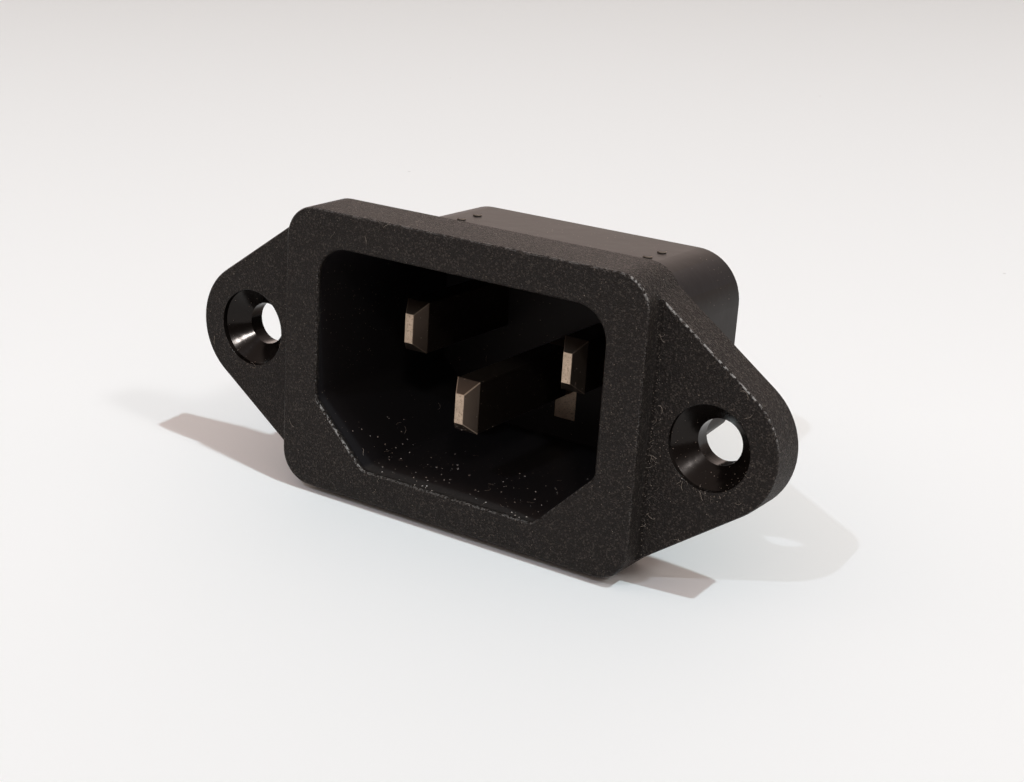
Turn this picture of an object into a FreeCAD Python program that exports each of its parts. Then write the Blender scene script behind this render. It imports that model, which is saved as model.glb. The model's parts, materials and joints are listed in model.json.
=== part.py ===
"""C14 panel inlet socket: a moulded flange housing with three bevelled contact pins.

Frame: +X along the row of screw holes, +Y into the panel, +Z up. The origin is midway between the screw
holes, on the flange's rear face, which is the face that seats on the panel.
"""

import FreeCAD, Part

import math
import os

import Sketcher

os.makedirs("parts", exist_ok=True)
doc = FreeCAD.newDocument("c14_panel_inlet")

# ---------------------------------------------------------------- driving dimensions, in millimetres
DRIVING_DIMENSIONS = {
    # flange plate: two screw ears joined behind the frame
    "hole_pitch": 40.0,
    "ear_radius": 5.05,
    "ear_thickness": 3.0,
    "plate_flat": 26.6,            # straight length of the plate's top and bottom edges
    "plate_radius": 3.0,
    "ear_edge_radius": 0.15,
    "screw_hole": 3.3,
    "countersink": 6.0,
    "countersink_angle": 90.0,
    "countersink_lip": 0.4,        # straight part above the cone
    # raised frame round the mouth of the socket
    "frame_width": 31.0,
    "frame_height": 22.0,
    "frame_depth": 4.4,
    "frame_radius": 2.6,
    "front_draft": 1.0,            # on the sides of the plate and the frame, in degrees
    "frame_edge_radius": 0.2,
    "root_radius": 0.15,           # inner corner where the frame rises from the ears
    # body that goes through the panel
    "body_width": 26.6,
    "body_height": 18.5,
    "body_drop": 0.2,              # centre of the body below the row of holes
    "body_depth": 14.5,
    "body_radius": 3.8,
    "body_bevel": 5.3,             # cut lower corners
    "body_bevel_radius": 0.8,
    "body_taper": 0.2,
    "body_edge_radius": 0.2,
    # connector cavity
    "cavity_width": 24.7,
    "cavity_height": 16.6,
    "cavity_drop": 0.1,
    "cavity_depth": 16.6,
    "cavity_radius": 2.5,
    "cavity_bevel": 4.7,
    "cavity_bevel_radius": 1.0,
    "cavity_taper": 0.3,
    "mouth_radius": 0.2,
    # low pips on top of the body
    "pip_spacing": 16.7,
    "pip_diameter": 0.7,
    "pip_height": 0.1,
    "pip_first": 8.2,              # from the panel face to the first pair
    "pip_step": 2.2,               # from the first pair to the second
    # contact pins
    "contact_spacing": 14.0,
    "contact_rise": 2.0,           # line and neutral above the row of holes
    "contact_drop": 2.0,           # earth below it
    "live_setback": 4.4,           # from the frame's front to the line and neutral tips
    "earth_setback": 1.4,          # the earth tip stands further forward and makes contact first
    "blade_thickness": 2.0,
    "blade_height": 4.0,
    "blade_edge_radius": 0.12,
    "tip_thickness": 0.72,
    "tip_height": 2.25,
    "tip_length": 1.1,
    "shoulder_height": 6.6,
    "live_shoulder_depth": 1.3,
    "earth_shoulder_drop": 1.3,    # centre of the earth shoulder below its blade
    "earth_shoulder_recess": 0.1,  # below the cavity floor
    # flat tab at the rear of each contact
    "tab_thickness": 0.8,
    "tab_width": 6.3,
    "tab_length": 7.9,
    "tab_corner": 1.2,
    "tab_lead": 0.22,
    "tab_hole": 1.65,
    "tab_hole_setback": 3.9,       # from the tab's free end
}

dims = doc.addObject("Spreadsheet::Sheet", "dims")
for row, (alias, number) in enumerate(DRIVING_DIMENSIONS.items(), start=1):
    dims.set(f"A{row}", alias)
    dims.set(f"B{row}", str(number))
    dims.setAlias(f"B{row}", alias)
doc.recompute()


class Size:
    """A length worked out from the sheet: its value now, and the expression that keeps it bound."""

    def __init__(self, value, text):
        self.value = float(value)
        self.text = text

    def __add__(self, other):
        other = as_size(other)
        return Size(self.value + other.value, f"({self.text} + {other.text})")

    def __sub__(self, other):
        other = as_size(other)
        return Size(self.value - other.value, f"({self.text} - {other.text})")

    def __truediv__(self, number):
        return Size(self.value / number, f"({self.text} / {number})")

    def __neg__(self):
        return Size(-self.value, f"(-1 * {self.text})")


def as_size(value):
    return value if isinstance(value, Size) else Size(value, repr(float(value)))


def size(alias):
    """The sheet's cell of that name."""
    return Size(dims.get(alias), f"dims.{alias}")


# ---------------------------------------------------------------- sketching
START, END, CENTRE = 1, 2, 3
X_AXIS, Y_AXIS = -1, -2
ON_AXIS = 1e-9


def new_body(label):
    body = doc.addObject("PartDesign::Body", label)
    body.Label = label
    return body


def new_sketch(body, name, role="XZ_Plane", offset=None):
    """A sketch on one of the body's own planes, moved along that plane's normal by offset.

    The XZ plane's normal is -Y, so a positive offset there is towards the front.
    """
    plane = next(o for o in body.Origin.OriginFeatures if o.Role == role)
    sketch = body.newObject("Sketcher::SketchObject", name)
    sketch.AttachmentSupport = (plane, [""])
    sketch.MapMode = "FlatFace"
    if offset is not None:
        sketch.setExpression("AttachmentOffset.Base.z", offset.text)
    return sketch


def bind(sketch, kind, where, length):
    """Adds a dimension and binds it to its expression."""
    index = sketch.addConstraint(Sketcher.Constraint(kind, *where, length.value))
    sketch.setExpression(f"Constraints[{index}]", length.text)


def pin_point(sketch, geometry, point, x, y):
    """Fixes a point at (x, y): on an axis where the coordinate is nought, otherwise by a dimension."""
    for length, kind, axis in ((x, "DistanceX", Y_AXIS), (y, "DistanceY", X_AXIS)):
        if abs(length.value) < ON_AXIS:
            sketch.addConstraint(Sketcher.Constraint("PointOnObject", geometry, point, axis))
        else:
            bind(sketch, kind, (geometry, point), length)


class Corner:
    """One corner of a closed outline: sharp, rounded by a radius, or an arc about a given centre."""

    def __init__(self, x, y, radius=None, about_centre=False):
        self.x, self.y = as_size(x), as_size(y)
        self.radius = radius
        self.about_centre = about_centre
        self.point = FreeCAD.Vector(self.x.value, self.y.value, 0)

    def seen_from(self, other, turn):
        """Where a straight edge from the other corner heads: this corner, or its arc's tangent point."""
        if not self.about_centre:
            return self.point
        away = self.point - other
        reach = math.sqrt(away.Length ** 2 - self.radius.value ** 2)
        angle = turn * math.atan2(self.radius.value, reach)
        heading = math.atan2(away.y, away.x) + angle
        return other + FreeCAD.Vector(math.cos(heading), math.sin(heading), 0) * reach


def outline(sketch, corners):
    """Draws and fully constrains a closed convex outline, its corners given anticlockwise."""
    count = len(corners)
    entries, exits, centres = [], [], []
    for i, corner in enumerate(corners):
        before, after = corners[i - 1], corners[(i + 1) % count]
        if corner.about_centre:
            entries.append(corner.seen_from(before.point, -1))
            exits.append(corner.seen_from(after.point, +1))
            centres.append(corner.point)
            continue
        arriving = (corner.point - before.seen_from(corner.point, +1)).normalize()
        leaving = (after.seen_from(corner.point, -1) - corner.point).normalize()
        if corner.radius is None:
            entries.append(corner.point)
            exits.append(corner.point)
            centres.append(None)
            continue
        half_turn = math.acos(arriving.dot(leaving)) / 2
        trim = corner.radius.value * math.tan(half_turn)
        entries.append(corner.point - arriving * trim)
        exits.append(corner.point + leaving * trim)
        inward = FreeCAD.Vector(-arriving.y, arriving.x, 0)
        centres.append(entries[-1] + inward * corner.radius.value)

    lines = [sketch.addGeometry(Part.LineSegment(exits[i], entries[(i + 1) % count]), False)
             for i in range(count)]
    for i, corner in enumerate(corners):
        arriving_line, leaving_line = lines[i - 1], lines[i]
        if corner.radius is None:
            sketch.addConstraint(Sketcher.Constraint("Coincident", arriving_line, END, leaving_line, START))
            pin_point(sketch, leaving_line, START, corner.x, corner.y)
            continue
        spoke_in, spoke_out = entries[i] - centres[i], exits[i] - centres[i]
        first = math.atan2(spoke_in.y, spoke_in.x)
        last = math.atan2(spoke_out.y, spoke_out.x)
        circle = Part.Circle(centres[i], FreeCAD.Vector(0, 0, 1), corner.radius.value)
        arc = sketch.addGeometry(Part.ArcOfCircle(circle, first, last), False)
        sketch.addConstraint(Sketcher.Constraint("Tangent", arriving_line, END, arc, START))
        sketch.addConstraint(Sketcher.Constraint("Tangent", arc, END, leaving_line, START))
        bind(sketch, "Radius", (arc,), corner.radius)
        if corner.about_centre:
            pin_point(sketch, arc, CENTRE, corner.x, corner.y)
            continue
        vertex = sketch.addGeometry(Part.Point(corner.point), True)
        pin_point(sketch, vertex, START, corner.x, corner.y)
        sketch.addConstraint(Sketcher.Constraint("PointOnObject", vertex, START, arriving_line))
        sketch.addConstraint(Sketcher.Constraint("PointOnObject", vertex, START, leaving_line))


def rectangle(sketch, width, height, centre_x=0, centre_y=0, radius=None):
    """A rectangle about its centre, its corners sharp or rounded."""
    right, left = as_size(centre_x) + width / 2, as_size(centre_x) - width / 2
    top, bottom = as_size(centre_y) + height / 2, as_size(centre_y) - height / 2
    places = ((right, bottom), (right, top), (left, top), (left, bottom))
    outline(sketch, [Corner(x, y, radius) for x, y in places])


def socket_outline(sketch, width, height, drop, top_radius, bevel, bevel_radius):
    """A rectangle with rounded upper corners and bevelled lower corners, as a C14 connector is keyed."""
    side, top, bottom = width / 2, height / 2 - drop, -(height / 2) - drop
    outline(sketch, [
        Corner(side - bevel, bottom, bevel_radius),
        Corner(side, bottom + bevel, bevel_radius),
        Corner(side, top, top_radius),
        Corner(-side, top, top_radius),
        Corner(-side, bottom + bevel, bevel_radius),
        Corner(bevel - side, bottom, bevel_radius),
    ])


def circle(sketch, x, y, diameter):
    ring = Part.Circle(FreeCAD.Vector(x.value, y.value, 0), FreeCAD.Vector(0, 0, 1), diameter.value / 2)
    geometry = sketch.addGeometry(ring, False)
    pin_point(sketch, geometry, CENTRE, x, y)
    bind(sketch, "Diameter", (geometry,), diameter)


# ---------------------------------------------------------------- features
def pad(body, sketch, name, length, reverse=False, taper=None):
    """Adds material from a sketch along its normal, or against it when reversed."""
    feature = body.newObject("PartDesign::Pad", name)
    feature.Profile = sketch
    feature.setExpression("Length", length.text)
    feature.Reversed = reverse
    if taper is not None:
        feature.setExpression("TaperAngle", (-taper).text)
    return finish_feature(body, feature, grows=True)


def pocket(body, sketch, name, length, reverse=False, taper=None, both_ways=False):
    """Cuts material away against a sketch's normal, or along it when reversed."""
    feature = body.newObject("PartDesign::Pocket", name)
    feature.Profile = sketch
    feature.setExpression("Length", length.text)
    feature.Reversed = reverse
    feature.Midplane = both_ways
    if taper is not None:
        feature.setExpression("TaperAngle", (-taper).text)
    return finish_feature(body, feature, grows=False)


def dress(body, kind, name, base, edges, length, prop):
    """A fillet or chamfer on the named edges of the base feature."""
    feature = body.newObject(f"PartDesign::{kind}", name)
    feature.Base = (base, edges)
    feature.setExpression(prop, length.text)
    return finish_feature(body, feature)


def fillet(body, name, base, edges, radius):
    return dress(body, "Fillet", name, base, edges, radius, "Radius")


def chamfer(body, name, base, edges, length):
    return dress(body, "Chamfer", name, base, edges, length, "Size")


def finish_feature(body, feature, grows=None):
    """Recomputes, and makes sure that the feature did what its kind should do to the volume."""
    earlier = feature.BaseFeature.Shape.Volume if feature.BaseFeature else 0.0
    body.Tip = feature
    doc.recompute()
    shape = feature.Shape
    if shape.isNull() or not shape.isValid():
        raise RuntimeError(f"{body.Label}: {feature.Name} has no valid shape")
    if grows is True and shape.Volume <= earlier:
        raise RuntimeError(f"{body.Label}: {feature.Name} added nothing")
    if grows is False and shape.Volume >= earlier:
        raise RuntimeError(f"{body.Label}: {feature.Name} cut nothing")
    return feature


def edges_where(feature, test):
    """Names of a feature's edges whose sampled points all pass the test."""
    names = []
    for number, edge in enumerate(feature.Shape.Edges, start=1):
        if all(test(point) for point in edge.discretize(5)):
            names.append(f"Edge{number}")
    if not names:
        raise RuntimeError(f"{feature.Name} has no such edge")
    return names


CLOSE = 1e-3


def at_depth(depth):
    """A test for points that lie in the plane Y = depth."""
    return lambda point: abs(point.y - depth) < CLOSE


# ---------------------------------------------------------------- housing
def add_flange_plate(body):
    """Both ears in one drafted plate: tip arcs about the screw holes, run tangent to the frame's corners."""
    sketch = new_sketch(body, "flange_outline")
    hole = size("hole_pitch") / 2
    flat, edge = size("plate_flat") / 2, size("frame_height") / 2
    tip, blend = size("ear_radius"), size("plate_radius")
    outline(sketch, [
        Corner(flat, -edge, blend),
        Corner(hole, 0, tip, about_centre=True),
        Corner(flat, edge, blend),
        Corner(-flat, edge, blend),
        Corner(-hole, 0, tip, about_centre=True),
        Corner(-flat, -edge, blend),
    ])
    plate = pad(body, sketch, "flange_plate", size("ear_thickness"), taper=size("front_draft"))
    front = edges_where(plate, at_depth(-size("ear_thickness").value))
    return fillet(body, "ear_front_edges", plate, front, size("ear_edge_radius"))


def add_frame(body):
    """The raised frame, drafted with the plate, its front edge and its root lightly rounded."""
    sketch = new_sketch(body, "frame_outline")
    rectangle(sketch, size("frame_width"), size("frame_height"), radius=size("frame_radius"))
    frame = pad(body, sketch, "frame", size("frame_depth"), taper=size("front_draft"))
    front = edges_where(frame, at_depth(-size("frame_depth").value))
    soft = fillet(body, "frame_front_edges", frame, front, size("frame_edge_radius"))
    on_ears = at_depth(-size("ear_thickness").value)
    beside_frame = size("frame_width").value / 2 + CLOSE
    root = edges_where(soft, lambda p: on_ears(p) and abs(p.x) < beside_frame)
    return fillet(body, "frame_root", soft, root, size("root_radius"))


def add_rear_body(body):
    """The shroud's outside, keyed like the cavity, behind the panel face."""
    sketch = new_sketch(body, "body_outline")
    socket_outline(sketch, size("body_width"), size("body_height"), size("body_drop"),
                   size("body_radius"), size("body_bevel"), size("body_bevel_radius"))
    shroud = pad(body, sketch, "rear_body", size("body_depth"), reverse=True, taper=size("body_taper"))
    rear = edges_where(shroud, at_depth(size("body_depth").value))
    return fillet(body, "rear_edges", shroud, rear, size("body_edge_radius"))


def cut_cavity(body):
    """The space for the connector's nose, closed at the rear by the base wall."""
    sketch = new_sketch(body, "cavity_outline", offset=size("frame_depth"))
    socket_outline(sketch, size("cavity_width"), size("cavity_height"), size("cavity_drop"),
                   size("cavity_radius"), size("cavity_bevel"), size("cavity_bevel_radius"))
    cavity = pocket(body, sketch, "cavity", size("cavity_depth"), taper=size("cavity_taper"))
    at_front = at_depth(-size("frame_depth").value)
    inside_mouth = size("cavity_width").value / 2 + CLOSE
    mouth = edges_where(cavity, lambda p: at_front(p) and abs(p.x) < inside_mouth
                        and abs(p.z) < size("cavity_height").value / 2 + size("cavity_drop").value + CLOSE)
    return fillet(body, "cavity_mouth", cavity, mouth, size("mouth_radius"))


def cut_screw_holes(body):
    """Countersunk clearance holes, cut from the front of the ears below a short straight lip."""
    sides = (size("hole_pitch") / 2, -(size("hole_pitch") / 2))
    lips = new_sketch(body, "countersink_lips", offset=size("ear_thickness"))
    centres = new_sketch(body, "screw_hole_centres", offset=size("ear_thickness") - size("countersink_lip"))
    for side in sides:
        circle(lips, side, as_size(0), size("countersink"))
        circle(centres, side, as_size(0), size("screw_hole"))
    pocket(body, lips, "countersink_mouths", size("countersink_lip"))
    holes = body.newObject("PartDesign::Hole", "screw_holes")
    holes.Profile = centres
    doc.recompute()
    holes.DepthType = "ThroughAll"
    holes.Threaded = False
    holes.setExpression("Diameter", size("screw_hole").text)
    holes.HoleCutType = "Countersink"
    holes.HoleCutCustomValues = True
    holes.setExpression("HoleCutDiameter", size("countersink").text)
    holes.setExpression("HoleCutCountersinkAngle", size("countersink_angle").text)
    return finish_feature(body, holes, grows=False)


def cavity_floor():
    """Y of the cavity's floor."""
    return size("cavity_depth") - size("frame_depth")


def cut_contact_slots(body):
    """Openings in the base wall: a close slot and a rear pocket for each live contact, one for earth."""
    base_thickness = size("body_depth") - cavity_floor()
    live_x, live_z = size("contact_spacing") / 2, size("contact_rise")
    blades = new_sketch(body, "blade_slots", offset=-cavity_floor())
    shoulders = new_sketch(body, "shoulder_pockets", offset=-size("body_depth"))
    for x in (live_x, -live_x):
        rectangle(blades, size("blade_thickness"), size("blade_height"), x, live_z)
        rectangle(shoulders, size("blade_thickness"), size("shoulder_height"), x, live_z)
    earth_z = -size("contact_drop") - size("earth_shoulder_drop")
    rectangle(blades, size("blade_thickness"), size("shoulder_height"), 0, earth_z)
    pocket(body, blades, "blade_openings", base_thickness)
    return pocket(body, shoulders, "shoulder_openings", size("live_shoulder_depth"), reverse=True)


def add_pips(body):
    """Four low moulded pips on top of the body."""
    sunk = size("pip_height")
    top = size("body_height") / 2 - size("body_drop")
    sketch = new_sketch(body, "pip_outlines", role="XY_Plane", offset=top - sunk)
    for x in (size("pip_spacing") / 2, -(size("pip_spacing") / 2)):
        for y in (size("pip_first"), size("pip_first") + size("pip_step")):
            circle(sketch, x, y, size("pip_diameter"))
    return pad(body, sketch, "pips", sunk + size("pip_height"))


def make_housing():
    body = new_body("housing")
    add_flange_plate(body)
    add_frame(body)
    add_rear_body(body)
    cut_cavity(body)
    cut_screw_holes(body)
    cut_contact_slots(body)
    add_pips(body)
    return body


# ---------------------------------------------------------------- contacts
def add_blade(body, tip_y, end_y):
    """A flat blade with its four sides bevelled to a small flat tip."""
    full_y = tip_y + size("tip_length")
    tip = new_sketch(body, "tip_flat", offset=-tip_y)
    rectangle(tip, size("tip_thickness"), size("tip_height"))
    full = new_sketch(body, "blade_section", offset=-full_y)
    rectangle(full, size("blade_thickness"), size("blade_height"), radius=size("blade_edge_radius"))
    back = new_sketch(body, "bevel_section", offset=-full_y)
    rectangle(back, size("blade_thickness"), size("blade_height"))
    bevel = body.newObject("PartDesign::AdditiveLoft", "bevelled_tip")
    bevel.Profile = tip
    bevel.Sections = [back]
    bevel.Ruled = True
    finish_feature(body, bevel, grows=True)
    return pad(body, full, "blade", end_y - full_y, reverse=True)


def add_shoulder(body, front_y, centre_z):
    """The wider part that seats in the base wall, flush with the body's rear face."""
    sketch = new_sketch(body, "shoulder_section", offset=-front_y)
    rectangle(sketch, size("blade_thickness"), size("shoulder_height"), 0, centre_z)
    return pad(body, sketch, "shoulder", size("body_depth") - front_y, reverse=True)


def add_tab(body, centre_z):
    """A 6.3 x 0.8 mm push-on tab with cut corners, a lead-in all round its end and a detent hole."""
    sketch = new_sketch(body, "tab_outline", role="YZ_Plane")
    near, far = size("body_depth"), size("body_depth") + size("tab_length")
    low, high = centre_z - size("tab_width") / 2, centre_z + size("tab_width") / 2
    cut = size("tab_corner")
    outline(sketch, [
        Corner(near, low), Corner(far - cut, low), Corner(far, low + cut),
        Corner(far, high - cut), Corner(far - cut, high), Corner(near, high),
    ])
    tab = body.newObject("PartDesign::Pad", "tab")
    tab.Profile = sketch
    tab.setExpression("Length", size("tab_thickness").text)
    tab.Midplane = True
    finish_feature(body, tab, grows=True)
    face_x = size("tab_thickness").value / 2
    clear_of_root = (far - cut).value - CLOSE
    rim = edges_where(tab, lambda p: abs(abs(p.x) - face_x) < CLOSE and p.y > clear_of_root)
    chamfer(body, "tab_lead_in", tab, rim, size("tab_lead"))
    hole = new_sketch(body, "tab_hole_centre", role="YZ_Plane")
    circle(hole, far - size("tab_hole_setback"), centre_z, size("tab_hole"))
    return pocket(body, hole, "tab_hole", size("blade_thickness"), both_ways=True)


def make_contact(label, x, z, setback, shoulder_front, shoulder_z):
    """One contact, drawn about its blade's centre line and then placed."""
    body = new_body(label)
    tip_y = setback - size("frame_depth")
    add_blade(body, tip_y, shoulder_front)
    add_shoulder(body, shoulder_front, shoulder_z)
    add_tab(body, shoulder_z)
    body.setExpression("Placement.Base.x", x.text)
    body.setExpression("Placement.Base.z", z.text)
    return body


def make_contacts():
    """Line is on the right and neutral on the left, seen from the front with the earth pin lowest."""
    side, rise = size("contact_spacing") / 2, size("contact_rise")
    live_shoulder = size("body_depth") - size("live_shoulder_depth")
    earth_shoulder = cavity_floor() + size("earth_shoulder_recess")
    level = as_size(0)
    return [
        make_contact("line_pin", side, rise, size("live_setback"), live_shoulder, level),
        make_contact("neutral_pin", -side, rise, size("live_setback"), live_shoulder, level),
        make_contact("earth_pin", level, -size("contact_drop"), size("earth_setback"),
                     earth_shoulder, -size("earth_shoulder_drop")),
    ]


# ---------------------------------------------------------------- build, check and write
sub_parts = [make_housing()] + make_contacts()
doc.recompute()

for item in doc.Objects:
    if "Invalid" in item.State or "Error" in item.State:
        raise RuntimeError(f"{item.Name} did not recompute: {item.State}")
    if item.isDerivedFrom("Sketcher::SketchObject") and not item.FullyConstrained:
        raise RuntimeError(f"{item.Name} is not fully constrained")

for sub_part in sub_parts:
    shape = sub_part.Shape
    if shape.isNull() or not shape.isValid() or len(shape.Solids) != 1:
        raise RuntimeError(f"{sub_part.Label} is not one valid solid")
    shape.exportStep(f"parts/{sub_part.Label}.step")
    extent = shape.BoundBox
    print(f"{sub_part.Label}: {shape.Volume:.1f} mm3, "
          f"{extent.XLength:.2f} x {extent.YLength:.2f} x {extent.ZLength:.2f} mm")
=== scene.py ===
"""Looks of the C14 panel inlet socket: spark-textured black moulding, plated contacts, and dust and lint on them."""

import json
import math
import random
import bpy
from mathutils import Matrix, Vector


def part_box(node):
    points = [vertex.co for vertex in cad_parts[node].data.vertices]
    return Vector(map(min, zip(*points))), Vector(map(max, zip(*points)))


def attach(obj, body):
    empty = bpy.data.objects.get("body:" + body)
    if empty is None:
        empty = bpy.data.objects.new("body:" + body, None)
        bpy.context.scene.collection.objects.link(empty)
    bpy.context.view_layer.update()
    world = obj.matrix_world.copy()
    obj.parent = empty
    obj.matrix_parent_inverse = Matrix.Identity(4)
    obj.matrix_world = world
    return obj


bl_info = {
    "name": "C14 panel inlet socket",
    "version": (1, 0, 0),
    "blender": (4, 5, 0),
    "location": "3D View > Sidebar > Inlet",
    "description": "Dresses the moulded housing and the three contacts of a C14 panel inlet",
    "category": "Object",
}

import bpy
from mathutils import Matrix, Vector

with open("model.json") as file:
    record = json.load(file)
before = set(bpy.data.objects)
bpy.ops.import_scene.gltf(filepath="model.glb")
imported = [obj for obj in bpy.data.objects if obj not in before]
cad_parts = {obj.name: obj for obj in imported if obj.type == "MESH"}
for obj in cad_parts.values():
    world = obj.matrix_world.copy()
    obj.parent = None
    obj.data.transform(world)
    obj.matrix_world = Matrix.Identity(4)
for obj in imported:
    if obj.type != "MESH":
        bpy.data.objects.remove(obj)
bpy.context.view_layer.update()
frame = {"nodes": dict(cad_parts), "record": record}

MM = 0.001
ROOT = "root"
HOUSING = "housing"
LIVE_PINS = ("line_pin", "neutral_pin")
EARTH_PIN = "earth_pin"

# Places on the moulding
SCREWS = next(m for m in frame["record"]["mounts"] if m["name"] == "panel_screws")
HOLE_X = SCREWS["dims"]["spacing_x_mm"] / 2 * MM
COUNTERSINK_RADIUS = 3.0 * MM
HOUSING_LOW, HOUSING_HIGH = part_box(HOUSING)
FRONT_Y = HOUSING_LOW.y
BODY_TOP = 9.05 * MM
FRAME_ROOT_X = 15.58 * MM       # the frame's sides rise from the ears here
FRAME_ROOT_Y = -3.08 * MM
CAVITY_DROP = 0.15 * MM         # the cavity's middle lies this far below the holes
CAVITY_REACH_X = 12.8 * MM      # from the cavity's middle to just past its walls
CAVITY_REACH_Z = 8.75 * MM

# Places on the contacts
LIVE_RISE = 2.0 * MM
EARTH_RISE = -2.0 * MM
TIP_LENGTH = 1.1 * MM
TIP_HALF_WIDTH, TIP_HALF_HEIGHT = 0.36 * MM, 1.125 * MM
BLADE_HALF_WIDTH, BLADE_HALF_HEIGHT = 1.0 * MM, 2.0 * MM
RIDGE_REACH = 0.07 * MM
EARTH_SHOULDER_Y = 10.4 * MM    # the blade ends here on the earth contact
LIVE_SHOULDER_Y = 13.5 * MM     # and here, inside the base wall, on the other two

# Where loose dust and lint start from, and which way they drift
BEFORE_FRONT = FRONT_Y - 5 * MM
ABOVE_CAVITY_FLOOR = -1.0 * MM
ABOVE_SOCKET = 15 * MM
INWARDS = Vector((0, 1, 0))
DOWNWARDS = Vector((0, 0, -1))
SPECK_SEED = 14
LINT_SEED = 5

# The stage
TABLE_SIZE = 1.6
BACK_LEFT = (-0.5, 0.866, 0.0)
CAMERA_TARGET = Vector((2.552, 0, -1.418)) * MM
CAMERA_SHIFT_X, CAMERA_SHIFT_Y = 0.0005, 0.0086


# Shared helpers


def linear(hex_colour):
    """An sRGB hex colour as linear red, green, blue and alpha."""
    channels = [int(hex_colour[i:i + 2], 16) / 255 for i in (1, 3, 5)]
    curve = [c / 12.92 if c <= 0.04045 else ((c + 0.055) / 1.055) ** 2.4 for c in channels]
    return (*curve, 1.0)


def add_node(tree, kind, settings=None, links=None):
    """Adds a node, sets its properties and input values, and links its inputs to other nodes' outputs."""
    node = tree.nodes.new(kind)
    for name, value in (settings or {}).items():
        if isinstance(name, int) or name in node.inputs:
            node.inputs[name].default_value = value
        else:
            setattr(node, name, value)
    for name, source in (links or {}).items():
        tree.links.new(source, node.inputs[name])
    return node


def new_material(name):
    """An empty material and its node tree."""
    material = bpy.data.materials.new(name)
    material.use_nodes = True
    material.node_tree.nodes.clear()
    return material, material.node_tree


def dress(node_name, material):
    """Puts a material in a CAD node's slots."""
    slots = frame["nodes"][node_name].data.materials
    slots.clear()
    slots.append(material)


def colour_property(name, description, hex_colour):
    return bpy.props.FloatVectorProperty(name=name, description=description, subtype="COLOR", size=4, min=0.0, max=1.0,
                                         default=linear(hex_colour))


def length_property(name, description, millimetres):
    return bpy.props.FloatProperty(name=name, description=description, unit="LENGTH", precision=6, min=0.0,
                                   default=millimetres * MM)


def strength_property(name, description, strength):
    return bpy.props.FloatProperty(name=name, description=description, default=strength, min=0.0)


def angle_property(name, description, degrees):
    return bpy.props.FloatProperty(name=name, description=description, subtype="ANGLE", default=math.radians(degrees))


def count_property(name, description, count):
    return bpy.props.IntProperty(name=name, description=description, default=count, min=0)


# Sizes and colours that a user would change


class InletFinish(bpy.types.PropertyGroup):
    """Colours and surface sizes of the socket."""

    plastic: colour_property("Plastic", "Black moulding compound", "#120e0c")
    plastic_bloom: colour_property("Bloom", "Greyer skin where the texture has been rubbed", "#191411")
    plastic_inside: colour_property("Cavity", "Smooth plastic inside the cavity", "#181618")
    plating: colour_property("Plating", "Nickel on the contact faces", "#c6b09b")
    tarnish: colour_property("Tarnish", "Duller nickel on the bevels and sides of the contacts", "#5a4d43")
    # painted shade for the blades inside the cavity
    blade_shade: colour_property("Blade shade", "Darkest nickel, on the blades' long sides", "#2c231d")
    dust: colour_property("Dust", "Fine household dust", "#b9a99a")
    dark_dust: colour_property("Dark dust", "The darkest of the fine dust", "#8f8278")
    # the pale colour also paints the highlight flecks on the edges
    pale_dust_and_highlight: colour_property("Pale dust", "Loose flakes in the cavity and flecks along the edges", "#f6f1ec")
    glint: colour_property("Glint", "Glass fibre that shows at the texture's peaks", "#7a7068")
    texture_grain: length_property("Texture grain", "Width of one pit of the spark texture", 0.11)
    texture_depth: length_property("Texture depth", "Depth of the spark texture", 0.08)
    speck_size: length_property("Speck size", "Width of a typical dust speck", 0.06)
    speck_count: count_property("Specks", "Loose specks on the front; the other places hold a share of it", 360)
    lint_count: count_property("Lint", "Short fibres caught on the texture", 70)
    lint_length: length_property("Lint length", "Length of a typical fibre", 0.5)
    lint_width: length_property("Lint width", "Thickness of a fibre", 0.016)


class InletStage(bpy.types.PropertyGroup):
    """The table, the lamps, the room and the camera."""

    table: colour_property("Table", "Pale laminate as it is seen", "#f6f6f5")
    table_far: colour_property("Far table", "The laminate towards the back left", "#cecbc8")
    table_mark: colour_property("Table marks", "Pin-head marks on the laminate", "#8a7f78")
    table_shade: colour_property("Table shade", "Laminate as it lights the socket", "#a8a6a4")
    key_strength: strength_property("Key", "Lamp overhead on the right", 1.36)
    front_strength: strength_property("Front", "Lamp behind the camera", 0.41)
    side_strength: strength_property("Side", "Low lamp on the right", 0.42)
    ceiling_strength: strength_property("Ceiling", "Lamp that only glints, above the camera's right", 2.3)
    room_strength: strength_property("Room", "Light from the walls and ceiling", 0.66)
    room_tint: colour_property("Room tint", "Warm white of the walls", "#ffeae0")
    azimuth: angle_property("Azimuth", "Camera to the right of the front", 32.15)
    elevation: angle_property("Elevation", "Camera above the row of holes", 18.256)
    roll: angle_property("Roll", "Tilt of the camera about its view", 3.815)
    distance: length_property("Distance", "Camera to the socket", 117.523)
    lens: bpy.props.FloatProperty(name="Lens", description="Focal length on a 36 mm sensor", default=56.47, min=1.0)


# Materials


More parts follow.
